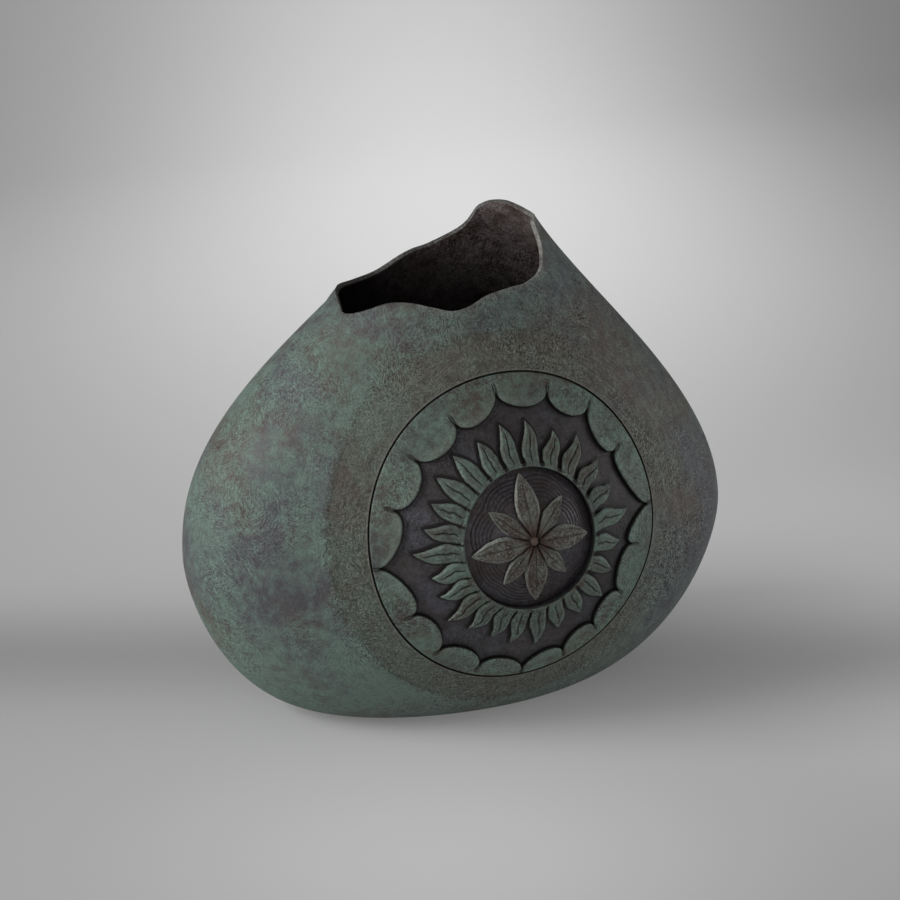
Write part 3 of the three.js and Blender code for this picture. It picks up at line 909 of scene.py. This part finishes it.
def border_rows():
    """Share of the way across a lobe, shift from there, and level, for each row of its section."""
    bottom = ground_level + fit_gap
    rows = [(0, 0, bottom)]
    for i in range(roll_rows + 1):
        turn = math.pi / 2 * i / roll_rows
        rows.append((0, 1 - math.cos(turn), -roll_height + roll_height * math.sin(turn)))
    for i in range(1, flat_rows):
        rows.append((i / flat_rows, 0, border_level))
    for i in range(edge_rows + 1):
        turn = math.pi / 2 * i / edge_rows
        shift = border_softening * (math.sin(turn) - 1)
        rows.append((1, shift, border_softening * (math.cos(turn) - 1)))
    rows.append((1, 0, bottom))
    return rows


def border_mesh():
    rows = border_rows()
    sectors = len(cusps) * lobe_steps

    def edge(angle):
        step = round(angle / math.tau * sectors) % sectors
        spread = 0.5 - 0.5 * math.cos(math.pi * (step % lobe_steps) / lobe_steps)
        return scallop_at(step // lobe_steps, spread), min(step % lobe_steps, -step % lobe_steps)

    def crack(inner, share, from_cusp):
        """Two chased cracks side by side run outwards from each cusp, crack_offset steps from it."""
        along = (border_radius - inner) * share / crack_length
        line = math.exp(-((from_cusp - crack_offset) / crack_width) ** 2)
        return line * (1 - smooth_step(0.7, 1, along))

    def place(row, angle):
        (turn, inner), from_cusp = edge(angle)
        share, shift, level = rows[row]
        roll = min(roll_width, 0.45 * (border_radius - inner))
        radius = inner + roll + (border_radius - border_softening - inner - roll) * share
        if share == 0:
            radius = inner + roll * shift
        if share == 1:
            radius = border_radius + shift
        if level > -roll_height:
            level -= crack_depth * crack(inner, share, from_cusp)
        return medallion_point(radius, turn, level)

    def marks(row, angle):
        """The cracks hold dark patina, the sides dark patina and painted shade, and each lobe is rubbed
        bright along its roll.
        """
        (turn, inner), from_cusp = edge(angle)
        share = rows[row][0]
        side = 0.75 if row < 3 else 0.5 if row == 3 or row > len(rows) - 3 else 0.0
        rub = smooth_step(3, 8, row) * (1 - smooth_step(0.05, 0.3, share)) * smooth_step(1, 5, from_cusp)
        return {"sunk": max(crack(inner, share, from_cusp), side), "rubbed": rub}

    return spun_form(len(rows), sectors, closed=True, place=place, marks=marks)


def relief_bronze():
    material, tree, shader, place = new_material("relief_bronze")
    clouds = patina(tree, place, cloud_size=0.03, cloud_share=2.6, hair_share=0.5, offset=0.8)
    z = split_place(tree, place)[2]
    brown = mix_colours(tree, clouds["Tint"], relief_brown, relief_grey)
    skin = mix_colours(tree, clouds["Cover"], brown, relief_verdigris)
    # Painted light: the relief is lighter low down.
    skin = shaded(tree, skin, ramp(tree, z, medallion_z - 0.07, medallion_z - 0.02, 1.15, 1.0))
    skin = mix_colours(tree, times(tree, mark(tree, "rubbed"), 0.35), skin, relief_rubbed)
    skin = shaded(tree, skin, clouds["Shade"])
    # Dark patina in cracks and midribs, and painted shade on walls, edges and between flames.
    skin = mix_colours(tree, mark(tree, "sunk"), skin, relief_sunk)
    finish_bronze(tree, shader, clouds, skin, metal=0.15, gloss=0.3, roughness=0.62, relief=0.25)
    return material


relief_skin = relief_bronze()
make_piece("scalloped_border_ring", border_mesh(), relief_skin, "scalloped_border")


# Bowl collar: the narrow cast ring soldered round the bowl, from which the flames spring. It has a low
# round back, and painted shade darkens its inner wall and its outer half between two flames.
collar_width = 0.0018
collar_level = -0.0004
collar_inner_fall = 0.0005
collar_outer_fall = 0.0001
collar_rows = 9
collar_sectors = 900
flame_gap_shade_from = 5.2
flame_gap_shade_full = 6.4


def collar_mesh():
    bottom = ground_level + fit_gap
    rows = [(bowl_radius, bottom)]
    for i in range(collar_rows):
        turn = math.pi * i / (collar_rows - 1)
        fall = collar_inner_fall if turn < math.pi / 2 else collar_outer_fall
        rows.append((bowl_radius + collar_width * (0.5 - 0.5 * math.cos(turn)),
                     collar_level - fall + fall * math.sin(turn)))
    rows.append((bowl_radius + collar_width, bottom))
    turns = [math.degrees(flame_facts(index)["turn"]) for index in range(flame_count)]

    def marks(row, angle):
        """Painted shade: the inner wall is dark, and the outer half of the collar is as dark between two
        flames as the ground is.
        """
        away = min(abs((math.degrees(angle) - turn + 180) % 360 - 180) for turn in turns)
        flame_gap_shade = smooth_step(flame_gap_shade_from, flame_gap_shade_full, away) * smooth_step(2, 5, row)
        return {"sunk": 0.45 if row < 2 else flame_gap_shade, "rubbed": 0.2 * (1 - flame_gap_shade)}

    return spun_form(len(rows), collar_sectors, closed=True, marks=marks,
                     place=lambda row, angle: medallion_point(rows[row][0], angle, rows[row][1]))


make_piece("bowl_collar_ring", collar_mesh(), relief_skin, "bowl_collar")


# Flames: twenty-five leaves that spring from the collar, cast singly and soldered on. Each bends in an
# S, swells to two ridges beside a chased midrib, and is rubbed bright along its edges.
flame_crown = 0
flame_tip_drop = 0.0004
flame_edge_drop = 0.0009
flame_root_fall = 0.0004
flame_ridge = 0.5
midrib_depth = 0.0007
midrib_width = 0.00042
midrib_wander = 0.0008
rib_width = 0.0003
rib_wander = 0.0005
leaf_steps = 26
leaf_lanes = 16
lane_crowding = 1.3
leaf_merged_within = 2e-5


def leaf_mesh(leaf, top_level, bottom_level, marks):
    """A grid laid along the leaf, its rim let down to the bottom and closed there."""
    bm = bmesh.new()
    bmesh.ops.create_grid(bm, x_segments=leaf_steps, y_segments=leaf_lanes, size=1)
    rim = [edge for edge in bm.edges if edge.is_boundary]
    grown = bmesh.ops.extrude_edge_only(bm, edges=rim)["geom"]
    lower = {part for part in grown if isinstance(part, bmesh.types.BMVert)}
    bmesh.ops.holes_fill(bm, edges=[e for e in bm.edges if e.is_boundary], sides=0)
    layers = {name: bm.verts.layers.float.new(name) for name in marks(0.5, 0)}
    for corner in bm.verts:
        share = min(1, max(0, corner.co.x / 2 + 0.5))
        lane = corner.co.y
        side = math.copysign(abs(lane) ** lane_crowding, lane)
        radius, angle = leaf_place(leaf, share, side)
        low = corner in lower
        level = bottom_level(share) if low else top_level(share, side)
        for name, value in marks(share, side).items():
            # Painted shade: the walls let down to the bottom are marked fully dark.
            corner[layers[name]] = 1.0 if low and name == "sunk" else value
        corner.co = medallion_point(radius, angle, level)
    return close_and_turn_out(bm, leaf_merged_within)


def midrib(leaf, share, side):
    """How deep the chased midrib is at a point of a flame, 0 to 1. It wanders, as cut by hand."""
    wander = midrib_wander * noise.noise(Vector((5 * share, 7 * leaf["turn"], 0)))
    line = math.exp(-((side * leaf["half_width"] + wander) / midrib_width) ** 2)
    return line * smooth_step(-0.05, 0.1, share) * (1 - smooth_step(0.7, 0.88, share))


def flame_level(leaf, share, side):
    groove = midrib_depth * midrib(leaf, share, side)
    fall = flame_edge_drop * max(0, (abs(side) - flame_ridge) / (1 - flame_ridge)) ** 2.2
    root_fall = flame_root_fall * (1 - smooth_step(0, 0.1, share))
    return flame_crown - flame_tip_drop * share ** 3 - fall - groove - root_fall


def flame_marks(leaf, share, side):
    """The midrib and a faint rib on each ridge hold dark patina, the outermost edge dark patina and
    painted shade, and the edges are rubbed.
    """
    edge = smooth_step(0.93, 1, abs(side))
    wander = rib_wander * noise.noise(Vector((6 * share, 5 * leaf["turn"], 2)))
    rib = math.exp(-(((abs(side) - flame_ridge) * leaf["half_width"] + wander) / rib_width) ** 2)
    rib *= smooth_step(0.05, 0.2, share) * (1 - smooth_step(0.45, 0.7, share))
    return {"sunk": max(0.95 * midrib(leaf, share, side), 0.6 * edge, 0.4 * rib),
            "rubbed": smooth_step(0.55, 0.8, abs(side)) * (0.6 + 0.4 * smooth_step(0.2, 0.6, share))}


for index in range(flame_count):
    flame = flame_facts(index)
    flame_bm = leaf_mesh(flame, lambda share, side: flame_level(flame, share, side),
                         lambda share: ground_level + leaf_gap,
                         lambda share, side: flame_marks(flame, share, side))
    make_piece("flame_leaf_%02d" % (index + 1), flame_bm, relief_skin,
               "flame_%02d" % (index + 1))


# Flower bowl: a low dome behind a sunk edge, let into the ground. Between the petals it carries nested
# arcs, cut with a chisel, and its patina is nearly black.
bowl_edge_level = -0.0046
bowl_crown_level = -0.0024
bowl_edge_width = 0.0014
bowl_softening = 0.0003
flower_place = (-0.0007, 0.0013)
petal_count = 8
petal_turn = 3.2
petal_drift = 7
petal_drift_from = 170
dome_radius = bowl_radius - fit_gap - bowl_edge_width
dome_rows = 72
dome_sectors = 480
arc_centre = 0.013
arc_radii = [0.0090, 0.0108, 0.0126, 0.0144, 0.0162, 0.0180]
arc_depth = 0.0003
arc_half_width = 0.0005
arc_wander = 0.0003
bowl_red = (0.038, 0.024, 0.021)
bowl_black = (0.026, 0.021, 0.024)
bowl_grey = (0.062, 0.057, 0.065)
arc_patina_and_edge_shade = (0.006, 0.004, 0.004)


def dome_level(radius):
    return bowl_crown_level + (bowl_edge_level - bowl_crown_level) * (radius / dome_radius) ** 2


def petal_angle(index):
    even = 360 / petal_count * index
    return petal_turn + even + petal_drift * math.cos(math.radians(even - petal_drift_from))


def arc_cut(radius, angle):
    """How deep a chisel arc cuts at a point of the dome, 0 to 1. The arcs are nested between petals."""
    turn = math.degrees(angle)
    gaps = [(petal_angle(i) + petal_angle(i + 1)) / 2 for i in range(petal_count)]
    away = min(((turn - gap + 180) % 360 - 180 for gap in gaps), key=abs)
    x = radius * math.cos(math.radians(away)) - arc_centre
    y = radius * math.sin(math.radians(away))
    wander = arc_wander * noise.noise(Vector((300 * radius, 5 * angle, 3)))
    near = min(abs(math.hypot(x, y) + wander - arc) for arc in arc_radii)
    fade = 1 - smooth_step(math.radians(60), math.radians(100), math.atan2(abs(y), x))
    fade *= 1 - smooth_step(dome_radius - 0.0008, dome_radius, radius)
    return fade * max(0, 1 - near / arc_half_width)


def bowl_mesh():
    bottom = fit_gap - seat_depth
    outer = bowl_radius - fit_gap
    radii = [dome_radius * (i / dome_rows) ** 0.8 for i in range(dome_rows, -1, -1)]
    rows = [(0, bottom), (outer / 2, bottom), (outer, bottom), (outer, bowl_edge_level - bowl_softening),
            (outer - bowl_softening, bowl_edge_level)]
    first_dome = len(rows)
    rows += [(radius, dome_level(radius)) for radius in radii]

    def place(row, angle):
        radius, level = rows[row]
        if row >= first_dome:
            level -= arc_depth * arc_cut(radius, angle)
        return medallion_point(radius, angle, level)

    def marks(row, angle):
        # Dark patina in the chisel arcs, and painted shade on the rows below the dome: the sunk edge and
        # the underside.
        return {"sunk": arc_cut(rows[row][0], angle) if row >= first_dome else 0.6}

    return spun_form(len(rows), dome_sectors, closed=False, place=place, marks=marks)


def bowl_bronze():
    material, tree, shader, place = new_material("bowl_bronze")
    clouds = patina(tree, place, cloud_size=0.02, cloud_share=2.0, hair_share=0.45, offset=1.2)
    dark = mix_colours(tree, clouds["Tint"], bowl_red, bowl_black)
    skin = shaded(tree, mix_colours(tree, clouds["Cover"], dark, bowl_grey), clouds["Shade"])
    # Dark patina in the arcs and painted shade on the sunk edge, in one near-black colour.
    skin = mix_colours(tree, times(tree, mark(tree, "sunk"), 0.85), skin, arc_patina_and_edge_shade)
    finish_bronze(tree, shader, clouds, skin, metal=0.35, gloss=0.5, roughness=0.45, relief=0.2)
    return material


make_piece("flower_bowl_dish", bowl_mesh(), bowl_bronze(), "flower_bowl")


# Petals: four long and four short lens-shaped petals soldered to the dome round a small boss. Each has
# a raised rubbed rim, a chased midrib and fine side veins.
petal_crown = 0.0003
petal_tip_drop = 0.0016
petal_edge_drop = 0.0011
petal_root_fullness = 0.06
petal_room = 0.0036
short_share = 0.825
petal_rim = 0.85
petal_dish = 0.0004
petal_rib_depth = 0.0004
petal_rib_width = 0.0005
petal_rib_shadow = 0.00038
vein_depth = 0.0002
veins_along = 52
vein_slant = 14
contour_at = 0.72
contour_width = 0.0003
boss_radius = 0.0024
long_petal = dict(tip=bowl_radius - petal_room, half_width=0.0062, wedge=26)
short_petal = dict(tip=(bowl_radius - petal_room) * short_share, half_width=0.0043, wedge=19)
flower_brown = (0.075, 0.055, 0.046)
flower_verdigris = (0.16, 0.175, 0.156)
flower_root = (0.07, 0.04, 0.031)
flower_rubbed = (0.26, 0.28, 0.25)
flower_sunk = (0.022, 0.012, 0.009)


def petal_facts(index):
    kind = short_petal if index % 2 else long_petal
    turn = petal_angle(index)
    nearest = min(petal_angle(index + 1) - turn, turn - petal_angle(index - 1))
    wedge = kind["wedge"] * min(1, nearest * petal_count / 360)
    return dict(kind, wedge=wedge, place=flower_place, root=boss_radius + fit_gap,
                root_fullness=petal_root_fullness, turn=math.radians(turn), axis=lambda share: 0)


def side_vein(share, across):
    """How deep the fine veins are that slant outwards from the midrib, 0 to 1."""
    wave = math.sin(veins_along * share - vein_slant * across)
    return max(0, wave) ** 6 * (1 - smooth_step(0.5, 0.75, across)) * smooth_step(0.12, 0.25, share)


def petal_level(leaf, share, side):
    """The petal is dished inside its rim, falls towards its tip, and has a midrib and veins cut in."""
    across = abs(side)
    dish = petal_dish * (1 - smooth_step(0.55, petal_rim, across)) * smooth_step(0.05, 0.3, share)
    dish *= 1 - smooth_step(0.75, 0.95, share)
    groove = petal_rib_depth * math.exp(-(side * leaf["half_width"] / petal_rib_width) ** 2)
    fall = petal_edge_drop * max(0, (across - petal_rim) / (1 - petal_rim)) ** 2
    vein = vein_depth * side_vein(share, across)
    return petal_crown - petal_tip_drop * share ** 2 - dish - groove - fall - vein


def petal_marks(leaf, share, side):
    """The midrib, the veins, a line inside the rim and the root are dark, and rim and tip rubbed."""
    across = abs(side)
    groove = math.exp(-(side * leaf["half_width"] / petal_rib_shadow) ** 2)
    groove *= 1 - smooth_step(0.7, 0.9, share)
    root = 1 - smooth_step(0.02, 0.14, share)
    contour = math.exp(-((across - contour_at) * leaf["half_width"] / contour_width) ** 2)
    contour *= smooth_step(0.1, 0.3, share)
    sunk = max(0.85 * groove, 0.55 * side_vein(share, across), 0.75 * root, 0.7 * contour)
    rim = smooth_step(0.78, 0.9, across) * smooth_step(0.15, 0.4, share)
    return {"sunk": sunk, "rubbed": max(rim, smooth_step(0.85, 1, share)),
            "root": 0.85 * (1 - smooth_step(0.12, 0.5, share + 0.25 * (1 - across)))}


def flower_bronze():
    material, tree, shader, place = new_material("flower_bronze")
    clouds = patina(tree, place, cloud_size=0.009, cloud_share=2.6, hair_share=0.5, offset=1.7)
    skin = mix_colours(tree, clouds["Cover"], flower_brown, flower_verdigris)
    skin = mix_colours(tree, mark(tree, "root"), skin, flower_root)
    skin = mix_colours(tree, times(tree, mark(tree, "rubbed"), 0.55), skin, flower_rubbed)
    skin = shaded(tree, skin, clouds["Shade"])
    # Dark patina in the midrib, veins and contour, and painted shade on the petal walls.
    skin = mix_colours(tree, mark(tree, "sunk"), skin, flower_sunk)
    finish_bronze(tree, shader, clouds, skin, metal=0.2, gloss=0.35, roughness=0.55, relief=0.25)
    return material


flower_skin = flower_bronze()
for index in range(petal_count):
    petal = petal_facts(index)
    petal_bm = leaf_mesh(
        petal, lambda share, side: petal_level(petal, share, side),
        lambda share: dome_level(petal["root"] + (petal["tip"] - petal["root"]) * share) + leaf_gap,
        lambda share, side: petal_marks(petal, share, side))
    kind = "short" if index % 2 else "long"
    make_piece("%s_petal_leaf_%d" % (kind, index // 2 + 1), petal_bm, flower_skin,
               "%s_petal_%d" % (kind, index // 2 + 1))


# Flower boss: the small round bronze button soldered in the middle of the flower, from which the petals
# spring. Its top is a low dome, with a reddish brown patina.
boss_shoulder = petal_crown - 0.001
boss_dome = 0.0007
boss_rows = 8
boss_sectors = 64
boss_red = (0.065, 0.038, 0.031)
boss_pink = (0.16, 0.105, 0.09)


def boss_mesh():
    bottom = bowl_crown_level + fit_gap
    rows = [(0, bottom), (boss_radius, bottom), (boss_radius, boss_shoulder)]
    for i in range(1, boss_rows + 1):
        turn = math.pi / 2 * i / boss_rows
        rows.append((boss_radius * math.cos(turn), boss_shoulder + boss_dome * math.sin(turn)))
    return spun_form(len(rows), boss_sectors, closed=False, place=lambda row, angle: medallion_point(
        *round_place(flower_place, rows[row][0], angle), rows[row][1]))


boss_bronze = plain_bronze("boss_bronze", boss_red, boss_pink, roughness=0.45, metal=0.4,
                           cloud_size=0.004)
make_piece("flower_boss_button", boss_mesh(), boss_bronze, "flower_boss")


# Camera, at the photograph's place: a long lens a little above the vase and to its left. Its aim is a
# point near the vase's middle, which was fitted together with the outline.
camera_turn = math.radians(23.17)
camera_height = math.radians(20.25)
camera_distance = 1.2399
aim_left = -0.00427
aim_up = 0.12827
lens = 94.55
film_width = 36
level_view = Vector((math.sin(camera_turn), math.cos(camera_turn), 0))
view_line = level_view * math.cos(camera_height) - Vector((0, 0, math.sin(camera_height)))
aim = Vector((aim_left * math.cos(camera_turn), middle_plane - aim_left * math.sin(camera_turn), aim_up))
camera_data = bpy.data.cameras.new("camera")
camera_data.lens = lens
camera_data.sensor_width = film_width
camera = bpy.data.objects.new("camera", camera_data)
camera.location = aim - view_line * camera_distance
camera.rotation_euler = view_line.to_track_quat("-Z", "Y").to_euler()
bpy.context.scene.collection.objects.link(camera)
bpy.context.scene.camera = camera


# Floor and backdrop: one sheet of pale paper that runs flat under the vase and curves up behind it. It
# glows a little for the camera and for reflections only, so it puts no more light on the vase.
sheet_width = 6
sheet_front = -2.5
sheet_top = 3.0
curve_start = 1.2
curve_radius = 0.6
curve_steps = 16
paper_grey = (0.41, 0.41, 0.41)
behind_glow = 0.5
before_glow = 0.13
beside_glow = 0.19
far_glow = 0.04
painted_contact_shadow = 0.3


def stage_mesh():
    bm = bmesh.new()
    sweep = [(sheet_front, 0.0), (curve_start, 0.0)]
    for i in range(1, curve_steps + 1):
        turn = math.pi / 2 * i / curve_steps
        sweep.append((curve_start + curve_radius * math.sin(turn), curve_radius * (1 - math.cos(turn))))
    sweep.append((curve_start + curve_radius, sheet_top))
    corners = [bm.verts.new((-sheet_width / 2, y, z)) for y, z in sweep]
    edges = [bm.edges.new(pair) for pair in zip(corners, corners[1:])]
    grown = bmesh.ops.extrude_edge_only(bm, edges=edges)["geom"]
    across = [part for part in grown if isinstance(part, bmesh.types.BMVert)]
    bmesh.ops.translate(bm, verts=across, vec=(sheet_width, 0, 0))
    bmesh.ops.recalc_face_normals(bm, faces=bm.faces[:])
    return bm


def stage_paper():
    """Pale paper that glows brightest behind the vase and before it, with a painted shadow that dims it
    close behind its foot.
    """
    material, tree, shader, place = new_material("stage_paper")
    beyond = vector_maths(tree, "DOT_PRODUCT", place, tuple(level_view))
    aside = vector_maths(tree, "DOT_PRODUCT", place, (level_view.y, -level_view.x, 0))

    def bell(value, middle, width):
        share = maths(tree, "DIVIDE", minus(tree, value, middle), width)
        return maths(tree, "EXPONENT", times(tree, times(tree, share, share), -1.0))

    behind = times(tree, bell(beyond, 1.1, 0.95), bell(aside, 0, 0.36))
    before = times(tree, bell(beyond, -0.2, 0.12), bell(aside, 0, 0.15))
    beside = times(tree, bell(beyond, 0.05, 0.22), bell(aside, 0.33, 0.16))
    glow = plus(tree, times(tree, behind, behind_glow), times(tree, before, before_glow),
                times(tree, beside, beside_glow), ramp(tree, beyond, 0.3, 0.8, 0.0, far_glow))
    # Painted shadow close behind the foot, in both the glow and the paper's colour.
    painted_shadow_factor = minus(tree, 1.0, times(tree, bell(beyond, 0.03, 0.06), painted_contact_shadow))
    ray = tree.nodes.new("ShaderNodeLightPath").outputs
    seen = maths(tree, "MAXIMUM", ray["Is Camera Ray"], maths(
        tree, "MAXIMUM", ray["Is Glossy Ray"], ray["Is Transmission Ray"]))
    glow = times(tree, glow, painted_shadow_factor, seen)
    set_sockets(tree, shader, {
        "Base Color": mix_colours(tree, painted_shadow_factor, (0, 0, 0), paper_grey), "Roughness": 0.9,
        "Specular IOR Level": 0.1, "Emission Color": mix_colours(tree, glow, (0, 0, 0), (1, 1, 1)),
        "Emission Strength": 1.0})
    return material


stage_sheet = make_object("stage_sheet", stage_mesh())
stage_sheet.data.shade_smooth()
stage_sheet.data.materials.append(stage_paper())


# Studio light: a large soft lamp from the upper left, a weak one low in front and one on the right, in a
# plain pale room. All three lamps point at the middle of the vase.
lamp_aim = Vector((0, 0, 0.12))
room_strength = 0.22


def soft_lamp(name, place, size, power):
    lamp = bpy.data.lights.new(name, "AREA")
    lamp.shape = "SQUARE"
    lamp.size = size
    lamp.energy = power
    held = bpy.data.objects.new(name, lamp)
    held.location = place
    held.rotation_euler = (lamp_aim - Vector(place)).to_track_quat("-Z", "Y").to_euler()
    bpy.context.scene.collection.objects.link(held)


soft_lamp("left_lamp", (-1.75, 0.15, 1.0), size=1.0, power=32)
soft_lamp("front_lamp", (-0.2, -2.2, 0.22), size=1.4, power=10)
soft_lamp("right_lamp", (1.7, -0.4, 0.18), size=0.9, power=9)
world = bpy.data.worlds.new("room")
world.use_nodes = True
set_sockets(world.node_tree, world.node_tree.nodes["Background"], {
    "Color": (1, 1, 1, 1), "Strength": room_strength})
bpy.context.scene.world = world
bpy.context.scene.view_settings.view_transform = "Standard"
